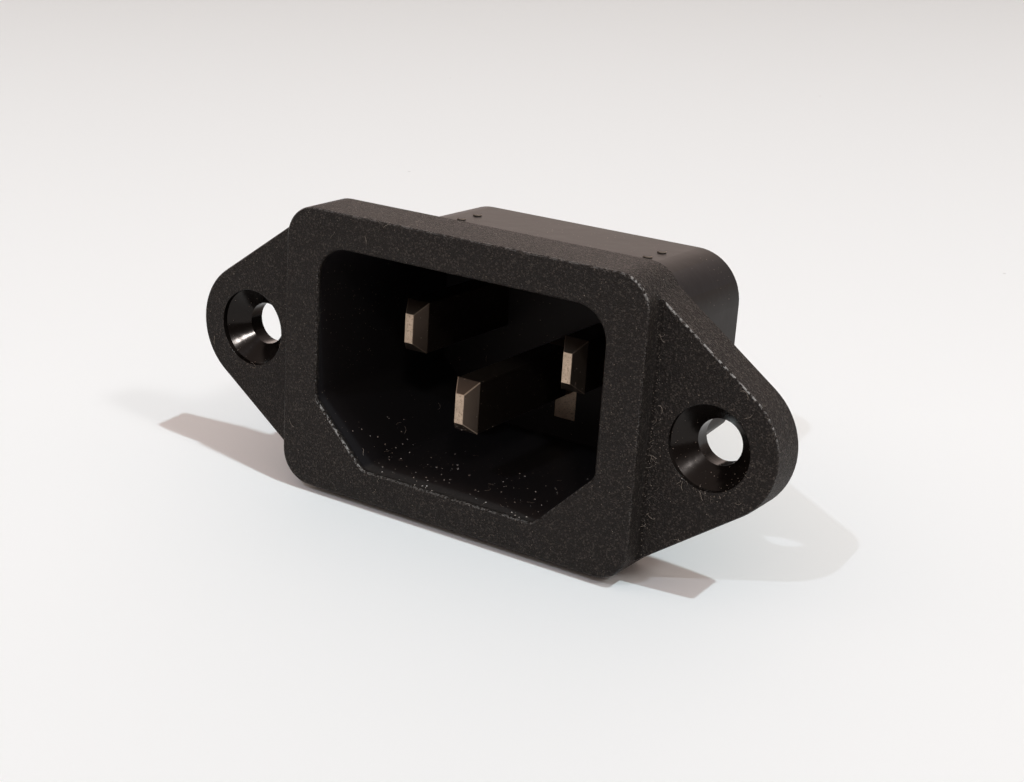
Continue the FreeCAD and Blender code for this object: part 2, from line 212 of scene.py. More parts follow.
def spark_textured_nylon(finish):
    """Glass-filled nylon, injection moulded. The flange is spark eroded, which gives a matt skin with a fine glitter.
    The rear body, the connector's cavity and the countersinks are smoother: they have a soft sheen and less dust."""
    material, tree = new_material("spark_textured_nylon")
    coordinates = add_node(tree, "ShaderNodeTexCoord")
    where = coordinates.outputs["Object"]
    place = add_node(tree, "ShaderNodeSeparateXYZ", links={0: where})
    facing = add_node(tree, "ShaderNodeSeparateXYZ", links={0: coordinates.outputs["Normal"]})
    side = add_node(tree, "ShaderNodeMath", {"operation": "ABSOLUTE"}, {0: place.outputs["X"]})

    # the body behind the panel
    rear = add_node(tree, "ShaderNodeMapRange", {"From Min": 0.01 * MM, "From Max": 0.05 * MM},
                    {"Value": place.outputs["Y"]})

    # the cavity: between its walls and behind the frame's front
    height = add_node(tree, "ShaderNodeMath", {"operation": "ADD", 1: CAVITY_DROP}, {0: place.outputs["Z"]})
    off_level = add_node(tree, "ShaderNodeMath", {"operation": "ABSOLUTE"}, {0: height.outputs[0]})
    within_sides = add_node(tree, "ShaderNodeMath", {"operation": "LESS_THAN", 1: CAVITY_REACH_X}, {0: side.outputs[0]})
    within_level = add_node(tree, "ShaderNodeMath", {"operation": "LESS_THAN", 1: CAVITY_REACH_Z},
                            {0: off_level.outputs[0]})
    within_both = add_node(tree, "ShaderNodeMath", {"operation": "MULTIPLY"},
                           {0: within_sides.outputs[0], 1: within_level.outputs[0]})
    behind_front = add_node(tree, "ShaderNodeMapRange",
                            {"From Min": FRONT_Y + 0.2 * MM, "From Max": FRONT_Y + 0.5 * MM},
                            {"Value": place.outputs["Y"]})
    cavity = add_node(tree, "ShaderNodeMath", {"operation": "MULTIPLY"},
                      {0: within_both.outputs[0], 1: behind_front.outputs["Result"]})

    # the countersinks: near a screw hole's axis
    beside_hole = add_node(tree, "ShaderNodeMath", {"operation": "SUBTRACT", 1: HOLE_X}, {0: side.outputs[0]})
    flat_offset = add_node(tree, "ShaderNodeCombineXYZ", links={"X": beside_hole.outputs[0], "Z": place.outputs["Z"]})
    hole_distance = add_node(tree, "ShaderNodeVectorMath", {"operation": "LENGTH"}, {0: flat_offset.outputs[0]})
    countersink = add_node(tree, "ShaderNodeMapRange",
                           {"From Min": COUNTERSINK_RADIUS + 0.04 * MM, "From Max": COUNTERSINK_RADIUS},
                           {"Value": hole_distance.outputs["Value"]})
    smooth_inside = add_node(tree, "ShaderNodeMath", {"operation": "MAXIMUM"},
                             {0: cavity.outputs[0], 1: countersink.outputs["Result"]})
    smooth = add_node(tree, "ShaderNodeMath", {"operation": "MAXIMUM"},
                      {0: smooth_inside.outputs[0], 1: rear.outputs["Result"]})

    # rubbed edges: rounded corners between a front and a side, by which way they face; the frame's root isn't one
    frontal = add_node(tree, "ShaderNodeMath", {"operation": "ABSOLUTE"}, {0: facing.outputs["Y"]})
    off_side = add_node(tree, "ShaderNodeMapRange", {"From Min": 0.08, "From Max": 0.3}, {"Value": frontal.outputs[0]})
    off_front = add_node(tree, "ShaderNodeMapRange", {"From Min": 0.985, "From Max": 0.9},
                         {"Value": frontal.outputs[0]})
    corner = add_node(tree, "ShaderNodeMath", {"operation": "MULTIPLY"},
                      {0: off_side.outputs["Result"], 1: off_front.outputs["Result"]})
    near_root = add_node(tree, "ShaderNodeMath", {"operation": "COMPARE", 1: FRAME_ROOT_X, 2: 0.22 * MM},
                         {0: side.outputs[0]})
    at_root_depth = add_node(tree, "ShaderNodeMath", {"operation": "COMPARE", 1: FRAME_ROOT_Y, 2: 0.14 * MM},
                             {0: place.outputs["Y"]})
    frame_root = add_node(tree, "ShaderNodeMath", {"operation": "MULTIPLY"},
                          {0: near_root.outputs[0], 1: at_root_depth.outputs[0]})
    off_root = add_node(tree, "ShaderNodeMath", {"operation": "SUBTRACT", 0: 1.0}, {1: frame_root.outputs[0]})
    off_countersink = add_node(tree, "ShaderNodeMath",
                               {"operation": "GREATER_THAN", 1: COUNTERSINK_RADIUS + 0.1 * MM},
                               {0: hole_distance.outputs["Value"]})
    open_corner = add_node(tree, "ShaderNodeMath", {"operation": "MULTIPLY"},
                           {0: corner.outputs[0], 1: off_root.outputs[0]})
    # the same edges carry the painted highlight flecks below
    rubbed_and_glinting_edge = add_node(tree, "ShaderNodeMath", {"operation": "MULTIPLY"},
                           {0: open_corner.outputs[0], 1: off_countersink.outputs[0]})

    # spark texture: overlapping pits; the real ones are 0.05 mm wide and are drawn twice as coarse to show
    pits = add_node(tree, "ShaderNodeTexVoronoi", {"Scale": 1 / finish.texture_grain}, {"Vector": where})
    coarse = add_node(tree, "ShaderNodeTexNoise",
                      {"Scale": 0.6 / finish.texture_grain, "Detail": 4.0, "Roughness": 0.6}, {"Vector": where})
    relief = add_node(tree, "ShaderNodeMath", {"operation": "ADD"},
                      {0: pits.outputs["Distance"], 1: coarse.outputs["Fac"]})
    textured = add_node(tree, "ShaderNodeMath", {"operation": "SUBTRACT", "use_clamp": True, 0: 1.0},
                        {1: smooth.outputs[0]})
    grain_relief = add_node(tree, "ShaderNodeMath", {"operation": "MULTIPLY"},
                            {0: relief.outputs[0], 1: textured.outputs[0]})

    # the walls are never quite flat: slow waves 2.5 mm wide under the texture
    flow = add_node(tree, "ShaderNodeTexNoise", {"Scale": 1 / (2.5 * MM), "Detail": 3.0}, {"Vector": where})
    surface = add_node(tree, "ShaderNodeMath", {"operation": "MULTIPLY_ADD", 1: 0.5},
                       {0: flow.outputs["Fac"], 2: grain_relief.outputs[0]})
    bump = add_node(tree, "ShaderNodeBump", {"Strength": 1.0, "Distance": finish.texture_depth},
                    {"Height": surface.outputs[0]})

    # painted highlight: the low walls of the pips on top of the body are lightened with the dust colour
    above_body = add_node(tree, "ShaderNodeMath", {"operation": "GREATER_THAN", 1: BODY_TOP + 0.01 * MM},
                          {0: place.outputs["Z"]})
    upright = add_node(tree, "ShaderNodeMath", {"operation": "LESS_THAN", 1: 0.6}, {0: facing.outputs["Z"]})
    high_wall = add_node(tree, "ShaderNodeMath", {"operation": "MULTIPLY"},
                         {0: above_body.outputs[0], 1: upright.outputs[0]})
    pip_wall = add_node(tree, "ShaderNodeMath", {"operation": "MULTIPLY"},
                        {0: high_wall.outputs[0], 1: rear.outputs["Result"]})
    pip_highlight = add_node(tree, "ShaderNodeMath", {"operation": "MULTIPLY", 1: 0.7}, {0: pip_wall.outputs[0]})

    # handled patches: the texture is rubbed greyer in soft clouds some 4 mm wide
    clouds = add_node(tree, "ShaderNodeTexNoise", {"Scale": 1 / (4 * MM), "Detail": 5.0, "Roughness": 0.65},
                      {"Vector": where})
    rubbed = add_node(tree, "ShaderNodeMapRange", {"From Min": 0.42, "From Max": 0.72},
                      {"Value": clouds.outputs["Fac"]})
    rubbed_outside = add_node(tree, "ShaderNodeMath", {"operation": "MULTIPLY"},
                              {0: rubbed.outputs["Result"], 1: textured.outputs[0]})
    outside_skin = add_node(tree, "ShaderNodeMix", {"data_type": "RGBA", 6: finish.plastic, 7: finish.plastic_bloom},
                            {0: rubbed_outside.outputs[0]})
    inner_skin = add_node(tree, "ShaderNodeMix", {"data_type": "RGBA", 7: finish.plastic_inside},
                          {0: cavity.outputs[0], 6: outside_skin.outputs[2]})
    # the pips' walls take the dust colour here, as a painted highlight
    skin = add_node(tree, "ShaderNodeMix", {"data_type": "RGBA", 7: finish.dust},
                    {0: pip_highlight.outputs[0], 6: inner_skin.outputs[2]})

    # fine glitter at the peaks: glass fibre and painted glints, 0.03 mm wide in fact and drawn 0.1 mm wide to show
    peaks = add_node(tree, "ShaderNodeTexVoronoi", {"Scale": 1 / (0.1 * MM)}, {"Vector": where})
    peak_amount = add_node(tree, "ShaderNodeSeparateColor", links={0: peaks.outputs["Color"]})
    peak = add_node(tree, "ShaderNodeMapRange", {"From Min": 0.7, "From Max": 1.0, "To Max": 0.32},
                    {"Value": peak_amount.outputs["Red"]})
    peak_outside = add_node(tree, "ShaderNodeMath", {"operation": "MULTIPLY"},
                            {0: peak.outputs["Result"], 1: textured.outputs[0]})
    glittered = add_node(tree, "ShaderNodeMix", {"data_type": "RGBA", 7: finish.glint},
                         {0: peak_outside.outputs[0], 6: skin.outputs[2]})

    # settled dust: specks up to 0.1 mm wide, some 0.4 mm apart, thicker in drifts 6 mm wide
    specks = add_node(tree, "ShaderNodeTexVoronoi", {"Scale": 1 / (0.3 * MM)}, {"Vector": where})
    amount = add_node(tree, "ShaderNodeSeparateColor", links={0: specks.outputs["Color"]})
    drift = add_node(tree, "ShaderNodeTexNoise", {"Scale": 1 / (6 * MM), "Detail": 3.0}, {"Vector": where})
    crowd = add_node(tree, "ShaderNodeMath", {"operation": "MULTIPLY"},
                     {0: amount.outputs["Red"], 1: drift.outputs["Fac"]})
    reach = add_node(tree, "ShaderNodeMapRange", {"From Min": 0.22, "From Max": 0.6, "To Max": 0.17},
                     {"Value": crowd.outputs[0]})
    inside_speck = add_node(tree, "ShaderNodeMath", {"operation": "SUBTRACT"},
                            {0: reach.outputs["Result"], 1: specks.outputs["Distance"]})
    speck = add_node(tree, "ShaderNodeMapRange", {"From Min": -0.02, "From Max": 0.06, "To Max": 0.5},
                     {"Value": inside_speck.outputs[0]})
    dusted = add_node(tree, "ShaderNodeMix", {"data_type": "RGBA", 7: finish.dust},
                      {0: speck.outputs["Result"], 6: glittered.outputs[2]})

    # dust film and painted light on the cavity's floor: thickest at the mouth and all but gone 4 mm in
    inwards = add_node(tree, "ShaderNodeMapRange",
                       {"From Min": FRONT_Y, "From Max": FRONT_Y + 4 * MM, "To Min": 0.08, "To Max": 0.01,
                        "interpolation_type": "SMOOTHSTEP"}, {"Value": place.outputs["Y"]})
    level = add_node(tree, "ShaderNodeMapRange", {"From Min": 0.8, "From Max": 0.95}, {"Value": facing.outputs["Z"]})
    lying = add_node(tree, "ShaderNodeMath", {"operation": "MULTIPLY"},
                     {0: level.outputs["Result"], 1: cavity.outputs[0]})
    film = add_node(tree, "ShaderNodeMath", {"operation": "MULTIPLY"},
                    {0: inwards.outputs["Result"], 1: lying.outputs[0]})
    film_and_light_patches = add_node(tree, "ShaderNodeMath", {"operation": "MULTIPLY"},
                            {0: film.outputs[0], 1: coarse.outputs["Fac"]})
    filmed_and_lit = add_node(tree, "ShaderNodeMix", {"data_type": "RGBA", 7: finish.dust},
                      {0: film_and_light_patches.outputs[0], 6: dusted.outputs[2]})

    # painted highlights: pale flecks 0.16 mm wide on the edges that face up, most where they also face right
    flecks = add_node(tree, "ShaderNodeTexVoronoi", {"Scale": 1 / (0.16 * MM)}, {"Vector": where})
    fleck_amount = add_node(tree, "ShaderNodeSeparateColor", links={0: flecks.outputs["Color"]})
    fleck = add_node(tree, "ShaderNodeMapRange", {"From Min": 0.35, "From Max": 0.8, "To Max": 0.36},
                     {"Value": fleck_amount.outputs["Green"]})
    upward = add_node(tree, "ShaderNodeMapRange", {"From Min": 0.1, "From Max": 0.5}, {"Value": facing.outputs["Z"]})
    rightward = add_node(tree, "ShaderNodeMapRange", {"From Min": 0.05, "From Max": 0.4, "To Min": 0.22},
                         {"Value": facing.outputs["X"]})
    facing_lamps = add_node(tree, "ShaderNodeMath", {"operation": "MULTIPLY"},
                       {0: upward.outputs["Result"], 1: rightward.outputs["Result"]})
    lit_edge = add_node(tree, "ShaderNodeMath", {"operation": "MULTIPLY"},
                            {0: rubbed_and_glinting_edge.outputs[0], 1: facing_lamps.outputs[0]})
    caught = add_node(tree, "ShaderNodeMath", {"operation": "MULTIPLY"},
                      {0: lit_edge.outputs[0], 1: fleck.outputs["Result"]})
    # painted highlight flecks, in the pale dust colour
    colour = add_node(tree, "ShaderNodeMix", {"data_type": "RGBA", 7: finish.pale_dust_and_highlight},
                      {0: caught.outputs[0], 6: filmed_and_lit.outputs[2]})

    # roughness: matt texture, satin body and cavity, shinier rubbed edges, a grimy root, the glossiest countersinks
    matt = add_node(tree, "ShaderNodeMapRange", {"From Min": 0.3, "From Max": 0.7, "To Min": 0.52, "To Max": 0.64},
                    {"Value": coarse.outputs["Fac"]})
    satin = add_node(tree, "ShaderNodeMix", {3: 0.48}, {0: rear.outputs["Result"], 2: matt.outputs["Result"]})
    inner = add_node(tree, "ShaderNodeMix", {3: 0.5}, {0: cavity.outputs[0], 2: satin.outputs[0]})
    worn = add_node(tree, "ShaderNodeMix", {3: 0.3}, {0: rubbed_and_glinting_edge.outputs[0], 2: inner.outputs[0]})
    grimy = add_node(tree, "ShaderNodeMix", {3: 0.9}, {0: frame_root.outputs[0], 2: worn.outputs[0]})
    roughness = add_node(tree, "ShaderNodeMix", {3: 0.18}, {0: countersink.outputs["Result"], 2: grimy.outputs[0]})

    shader = add_node(tree, "ShaderNodeBsdfPrincipled",
                      {"IOR": 1.5, "Specular IOR Level": 0.24, "Specular Tint": linear("#fff4ee")},
                      {"Base Color": colour.outputs[2], "Roughness": roughness.outputs[0],
                       "Normal": bump.outputs["Normal"]})
    add_node(tree, "ShaderNodeOutputMaterial", links={"Surface": shader.outputs["BSDF"]})
    return material


def nickel_plated_brass(node_name, finish):
    """Stamped brass with a barrel-plated nickel skin. The tip's flat and the tab behind the blade are bright and warm
    with tumbling speckle; the coined bevels are duller and browner with painted highlights on their ridges; the blade
    is painted darkest, as shade, and the bevels and the blade collect dust."""
    material, tree = new_material(f"nickel_plated_{node_name}")
    is_earth = node_name == EARTH_PIN
    low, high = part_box(node_name)
    tip_y = low.y
    tip_end = tip_y + TIP_LENGTH
    centre_x = (low.x + high.x) / 2
    centre_z = EARTH_RISE if is_earth else LIVE_RISE
    shoulder_y = EARTH_SHOULDER_Y if is_earth else LIVE_SHOULDER_Y
    where = add_node(tree, "ShaderNodeTexCoord").outputs["Object"]
    place = add_node(tree, "ShaderNodeSeparateXYZ", links={0: where})

    # painted highlight: the coined tip's four ridges, where a side bevel meets a top or bottom one, in bright plating
    aside = add_node(tree, "ShaderNodeMath", {"operation": "SUBTRACT", 1: centre_x}, {0: place.outputs["X"]})
    out = add_node(tree, "ShaderNodeMath", {"operation": "ABSOLUTE"}, {0: aside.outputs[0]})
    above = add_node(tree, "ShaderNodeMath", {"operation": "SUBTRACT", 1: centre_z}, {0: place.outputs["Z"]})
    up = add_node(tree, "ShaderNodeMath", {"operation": "ABSOLUTE"}, {0: above.outputs[0]})
    bevel_side = add_node(tree, "ShaderNodeMapRange",
                          {"From Min": tip_y, "From Max": tip_end, "To Min": TIP_HALF_WIDTH,
                           "To Max": BLADE_HALF_WIDTH}, {"Value": place.outputs["Y"]})
    bevel_top = add_node(tree, "ShaderNodeMapRange",
                         {"From Min": tip_y, "From Max": tip_end, "To Min": TIP_HALF_HEIGHT,
                          "To Max": BLADE_HALF_HEIGHT}, {"Value": place.outputs["Y"]})
    near_side = add_node(tree, "ShaderNodeMath", {"operation": "COMPARE", 2: RIDGE_REACH},
                         {0: out.outputs[0], 1: bevel_side.outputs["Result"]})
    near_top = add_node(tree, "ShaderNodeMath", {"operation": "COMPARE", 2: RIDGE_REACH},
                        {0: up.outputs[0], 1: bevel_top.outputs["Result"]})
    on_tip = add_node(tree, "ShaderNodeMath", {"operation": "LESS_THAN", 1: tip_end + 0.05 * MM},
                      {0: place.outputs["Y"]})
    near_both = add_node(tree, "ShaderNodeMath", {"operation": "MULTIPLY"},
                         {0: near_side.outputs[0], 1: near_top.outputs[0]})
    ridge = add_node(tree, "ShaderNodeMath", {"operation": "MULTIPLY"},
                     {0: near_both.outputs[0], 1: on_tip.outputs[0]})
    # the highlight is painted full on the earth pin and fainter on the other two
    ridge_highlight = add_node(tree, "ShaderNodeMath", {"operation": "MULTIPLY", 1: 1.0 if is_earth else 0.4},
                      {0: ridge.outputs[0]})

    # tumbling dents, the largest 0.16 mm wide, and rolling lines along the blade, 0.12 mm apart
    dents = add_node(tree, "ShaderNodeTexNoise", {"Scale": 1 / (0.16 * MM), "Detail": 4.0, "Roughness": 0.7},
                     {"Vector": where})
    lines_place = add_node(tree, "ShaderNodeMapping", {"Scale": (1.0, 0.08, 1.0)}, {"Vector": where})
    lines = add_node(tree, "ShaderNodeTexNoise", {"Scale": 1 / (0.12 * MM), "Detail": 2.0},
                     {"Vector": lines_place.outputs[0]})
    relief = add_node(tree, "ShaderNodeMath", {"operation": "MULTIPLY_ADD", 1: 0.4},
                      {0: lines.outputs["Fac"], 2: dents.outputs["Fac"]})
    bump = add_node(tree, "ShaderNodeBump", {"Strength": 1.0, "Distance": 0.008 * MM}, {"Height": relief.outputs[0]})

    # the blade, from just behind the tip's flat to its shoulder
    behind_tip = add_node(tree, "ShaderNodeMapRange", {"From Min": tip_y + 0.01 * MM, "From Max": tip_y + 0.06 * MM},
                          {"Value": place.outputs["Y"]})
    before_shoulder = add_node(tree, "ShaderNodeMath", {"operation": "LESS_THAN", 1: shoulder_y},
                               {0: place.outputs["Y"]})
    blade = add_node(tree, "ShaderNodeMath", {"operation": "MULTIPLY"},
                     {0: behind_tip.outputs["Result"], 1: before_shoulder.outputs[0]})

    # tarnish: all over the blade, and elsewhere in stains under 1 mm wide and in the deeper dents
    stain = add_node(tree, "ShaderNodeTexNoise", {"Scale": 1 / (0.9 * MM), "Detail": 6.0, "Roughness": 0.7},
                     {"Vector": where})
    patchy = add_node(tree, "ShaderNodeMapRange", {"From Min": 0.35, "From Max": 0.75, "To Max": 0.45},
                      {"Value": stain.outputs["Fac"]})
    pitted = add_node(tree, "ShaderNodeMapRange", {"From Min": 0.5, "From Max": 0.62, "To Max": 0.6},
                      {"Value": dents.outputs["Fac"]})
    spotted = add_node(tree, "ShaderNodeMath", {"operation": "MAXIMUM"},
                       {0: patchy.outputs["Result"], 1: pitted.outputs["Result"]})
    worn = add_node(tree, "ShaderNodeMath", {"operation": "MAXIMUM"}, {0: blade.outputs[0], 1: spotted.outputs[0]})
    dull = add_node(tree, "ShaderNodeMath", {"operation": "SUBTRACT", "use_clamp": True},
                    {0: worn.outputs[0], 1: ridge_highlight.outputs[0]})
    nickel = add_node(tree, "ShaderNodeMix", {"data_type": "RGBA", 6: finish.plating, 7: finish.tarnish},
                      {0: dull.outputs[0]})

    # painted shade: the blade, from just past the tip's bevels to its shoulder, darkened deep in the cavity
    past_tip = add_node(tree, "ShaderNodeMapRange",
                        {"From Min": tip_end - 0.05 * MM, "From Max": tip_end + 0.1 * MM, "To Max": 0.7},
                        {"Value": place.outputs["Y"]})
    blade_shade = add_node(tree, "ShaderNodeMath", {"operation": "MULTIPLY"},
                     {0: past_tip.outputs["Result"], 1: before_shoulder.outputs[0]})
    metal = add_node(tree, "ShaderNodeMix", {"data_type": "RGBA", 7: finish.blade_shade},
                     {0: blade_shade.outputs[0], 6: nickel.outputs[2]})

    # dust specks about 0.1 mm wide, under half a millimetre apart, and a greasy film; the tip's flat is clean of both
    specks = add_node(tree, "ShaderNodeTexVoronoi", {"Scale": 1 / (0.33 * MM)}, {"Vector": where})
    amount = add_node(tree, "ShaderNodeSeparateColor", links={0: specks.outputs["Color"]})
    reach = add_node(tree, "ShaderNodeMapRange", {"From Min": 0.5, "From Max": 1.0, "To Max": 0.2},
                     {"Value": amount.outputs["Red"]})
    inside_speck = add_node(tree, "ShaderNodeMath", {"operation": "SUBTRACT"},
                            {0: reach.outputs["Result"], 1: specks.outputs["Distance"]})
    speck = add_node(tree, "ShaderNodeMapRange", {"From Min": -0.02, "From Max": 0.06, "To Max": 0.6},
                     {"Value": inside_speck.outputs[0]})
    greasy = add_node(tree, "ShaderNodeMath", {"operation": "MAXIMUM", 1: 0.1}, {0: speck.outputs["Result"]})
    dusty = add_node(tree, "ShaderNodeMath", {"operation": "MULTIPLY"}, {0: greasy.outputs[0], 1: blade.outputs[0]})
    colour = add_node(tree, "ShaderNodeMix", {"data_type": "RGBA", 7: finish.dust},
                      {0: dusty.outputs[0], 6: metal.outputs[2]})

    polished = add_node(tree, "ShaderNodeMapRange", {"To Min": 0.3, "To Max": 0.4}, {"Value": dents.outputs["Fac"]})
    roughness = add_node(tree, "ShaderNodeMix", {3: 0.34}, {0: dull.outputs[0], 2: polished.outputs["Result"]})
    metallic = add_node(tree, "ShaderNodeMath", {"operation": "SUBTRACT", 0: 1.0}, {1: dusty.outputs[0]})
    shader = add_node(tree, "ShaderNodeBsdfPrincipled", links={
        "Base Color": colour.outputs[2], "Metallic": metallic.outputs[0], "Roughness": roughness.outputs[0],
        "Normal": bump.outputs["Normal"]})
    add_node(tree, "ShaderNodeOutputMaterial", links={"Surface": shader.outputs["BSDF"]})
    return material


def household_dust(name, dark, pale):
    """Skin flakes and cotton fibre: matt, pale and slightly warm, each one a little lighter or darker than the next."""
    material, tree = new_material(name)
    where = add_node(tree, "ShaderNodeTexCoord").outputs["Object"]
    shade = add_node(tree, "ShaderNodeTexNoise", {"Scale": 1 / (0.7 * MM), "Detail": 2.0}, {"Vector": where})
    spread = add_node(tree, "ShaderNodeMapRange", {"From Min": 0.35, "From Max": 0.65}, {"Value": shade.outputs["Fac"]})
    colour = add_node(tree, "ShaderNodeMix", {"data_type": "RGBA", 6: dark, 7: pale}, {0: spread.outputs["Result"]})
    shader = add_node(tree, "ShaderNodeBsdfPrincipled", {"Roughness": 0.85, "Specular IOR Level": 0.3},
                      {"Base Color": colour.outputs[2]})
    add_node(tree, "ShaderNodeOutputMaterial", links={"Surface": shader.outputs["BSDF"]})
    return material


def pale_laminate(stage):
    """Melamine table top: white and matt, greyer towards the back left where the room's light falls off, with pin-head
    marks. It is darker for light that reaches the socket from it, so that the gap below the flange stays dark."""
    material, tree = new_material("pale_laminate")
    where = add_node(tree, "ShaderNodeTexCoord").outputs["Object"]
    path = add_node(tree, "ShaderNodeLightPath")
    back_left = add_node(tree, "ShaderNodeVectorMath", {"operation": "DOT_PRODUCT", 1: BACK_LEFT}, {0: where})
    away = add_node(tree, "ShaderNodeMapRange", {"From Min": 0.02, "From Max": 0.3},
                    {"Value": back_left.outputs["Value"]})
    top = add_node(tree, "ShaderNodeMix", {"data_type": "RGBA", 6: stage.table, 7: stage.table_far},
                   {0: away.outputs["Result"]})

    # marks about 0.4 mm wide, some 12 mm apart
    marks = add_node(tree, "ShaderNodeTexVoronoi", {"Scale": 1 / (12 * MM)}, {"Vector": where})
    mark = add_node(tree, "ShaderNodeMapRange", {"From Min": 0.02, "From Max": 0.01, "To Max": 0.25},
                    {"Value": marks.outputs["Distance"]})
    marked = add_node(tree, "ShaderNodeMix", {"data_type": "RGBA", 7: stage.table_mark},
                      {0: mark.outputs["Result"], 6: top.outputs[2]})

    # as it is seen, and as it lights the socket
    seen = add_node(tree, "ShaderNodeMath", {"operation": "MAXIMUM"},
                    {0: path.outputs["Is Camera Ray"], 1: path.outputs["Is Glossy Ray"]})
    colour = add_node(tree, "ShaderNodeMix", {"data_type": "RGBA", 6: stage.table_shade},
                      {0: seen.outputs[0], 7: marked.outputs[2]})
    shader = add_node(tree, "ShaderNodeBsdfDiffuse", links={"Color": colour.outputs[2]})
    add_node(tree, "ShaderNodeOutputMaterial", links={"Surface": shader.outputs["BSDF"]})
    return material


# Dust and lint


# how a fibre sets out from its two ends, in fibre lengths
FIBRE_BENDS = (
    ((0.3, 0.25, 0.03), (0.3, 0.2, -0.03)),
    ((0.35, -0.1, 0.05), (0.25, 0.3, 0.0)),
    ((0.1, 0.5, 0.02), (0.2, -0.4, 0.0)),
)


def deselect():
    """Leaves edit mode and selects nothing."""
    if bpy.context.mode != "OBJECT":
        bpy.ops.object.mode_set(mode="OBJECT")
    bpy.ops.object.select_all(action="DESELECT")


def model_flake(seed):
    """One dust flake of unit width: a crumpled, flattened ball of a few faces."""
    deselect()
    bpy.ops.mesh.primitive_ico_sphere_add(subdivisions=1, radius=0.5)
    flake = bpy.context.object
    bpy.ops.object.mode_set(mode="EDIT")
    bpy.ops.mesh.select_all(action="SELECT")
    bpy.ops.transform.resize(value=(1.0, 0.6, 0.4))
    bpy.ops.transform.vertex_random(offset=0.16, seed=seed)
    bpy.ops.mesh.normals_make_consistent(inside=False)
    bpy.ops.object.mode_set(mode="OBJECT")
    return flake


def model_fibre(bends, width):
    """One fibre of unit length, lying along X: a hair-thin tube through a few loose bends."""
    deselect()
    bpy.ops.curve.primitive_bezier_curve_add()
    fibre = bpy.context.object
    points = fibre.data.splines[0].bezier_points
    first, last = points
    first.co, last.co = (-0.5, 0, 0), (0.5, 0, 0)
    for point, handles in ((first, bends[0]), (last, bends[1])):
        point.handle_left_type = point.handle_right_type = "ALIGNED"
        point.handle_right = point.co + Vector(handles)
        point.handle_left = point.co - Vector(handles)
    fibre.data.resolution_u = 6
    fibre.data.bevel_depth = width / 2
    fibre.data.bevel_resolution = 0
    fibre.data.use_fill_caps = True
    bpy.ops.object.convert(target="MESH")
    bpy.ops.object.mode_set(mode="EDIT")
    bpy.ops.mesh.select_all(action="SELECT")
    bpy.ops.mesh.remove_doubles(threshold=width * 0.05)
    bpy.ops.mesh.normals_make_consistent(inside=False)
    bpy.ops.object.mode_set(mode="OBJECT")
    return bpy.context.object


def landing(start, direction):
    """Where a speck that drifts from start comes to rest on the socket, and which way that surface faces."""
    best = None
    for node in frame["nodes"].values():
        hit, place, normal, _ = node.ray_cast(start, direction)
        if hit and (best is None or (place - start).length < (best[0] - start).length):
            best = (place, normal if normal.dot(direction) < 0 else -normal)
    return best


def settle(models, name, drops, material):
    """Copies the models to where each drop lands and joins the copies into one piece."""
    copies = []
    for start, direction, size, turn, choice in drops:
        found = landing(start, direction)
        if found is None:
            continue
        place, normal = found
        flat = normal.to_track_quat("Z", "Y").to_matrix().to_4x4()
        copy = models[choice % len(models)].copy()
        copy.data = copy.data.copy()
        bpy.context.scene.collection.objects.link(copy)
        copy.matrix_world = (Matrix.Translation(place + normal * size * 0.02) @ flat @ Matrix.Rotation(turn, 4, "Z")
                             @ Matrix.Scale(size, 4))
        copies.append(copy)
    deselect()
    for copy in copies:
        copy.select_set(True)
    bpy.context.view_layer.objects.active = copies[0]
    bpy.ops.object.join()
    piece = bpy.context.object
    piece.name = piece.data.name = name
    bpy.ops.object.transform_apply(location=True, rotation=True, scale=True)
    piece.data.materials.clear()
    piece.data.materials.append(material)
    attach(piece, ROOT)
    return piece


def drop(chance, start, direction, size):
    """One speck or fibre on its way: where from, which way, how wide, how turned, and which model."""
    return (start, direction, size * chance.uniform(0.5, 1.5), chance.uniform(0, math.tau), chance.randrange(100))


def drops_on_front(chance, count, size):
    """Drops that reach the frame's front and the ears."""
    return [drop(chance, Vector((chance.uniform(HOUSING_LOW.x, HOUSING_HIGH.x), BEFORE_FRONT,
                                 chance.uniform(HOUSING_LOW.z, HOUSING_HIGH.z))), INWARDS, size)
            for _ in range(count)]


def drops_at_roots(chance, count, size):
    """Drops that collect where the frame rises from the ears, more on the right."""
    drops = []
    for _ in range(count):
        side = 1 if chance.random() < 0.8 else -1
        outwards = FRAME_ROOT_X + 0.04 * MM + abs(chance.gauss(0, 0.35 * MM))
        start = Vector((side * outwards, BEFORE_FRONT, chance.uniform(-8.5, 7.5) * MM))
        drops.append(drop(chance, start, INWARDS, size))
    return drops


def drops_round_countersinks(chance, count, size):
    """Drops that collect on the countersinks' rims, mostly below the holes."""
    drops = []
    for _ in range(count):
        side = 1 if chance.random() < 0.7 else -1
        angle = chance.gauss(-math.pi / 2, 1.1)
        radius = chance.gauss(3.05, 0.25) * MM
        start = Vector((side * HOLE_X + radius * math.cos(angle), BEFORE_FRONT, radius * math.sin(angle)))
        drops.append(drop(chance, start, INWARDS, size))
    return drops


def drops_in_cavity(chance, count, size):
    """Drops that fall on the cavity's floor, most of them near its mouth, and on top of the earth pin."""
    drops = []
    for _ in range(count):
        start = Vector((chance.uniform(-10, 11) * MM, FRONT_Y + 0.3 * MM + abs(chance.gauss(0, 4.5)) * MM,
                        ABOVE_CAVITY_FLOOR))
        drops.append(drop(chance, start, DOWNWARDS, size))
    return drops


def drops_on_top(chance, count, size):
    """Drops that fall on the frame, the ears and the rear body from above."""
    return [drop(chance, Vector((chance.uniform(HOUSING_LOW.x, HOUSING_HIGH.x), chance.uniform(FRONT_Y, 13 * MM),
                                 ABOVE_SOCKET)), DOWNWARDS, size)
            for _ in range(count)]


# Operators


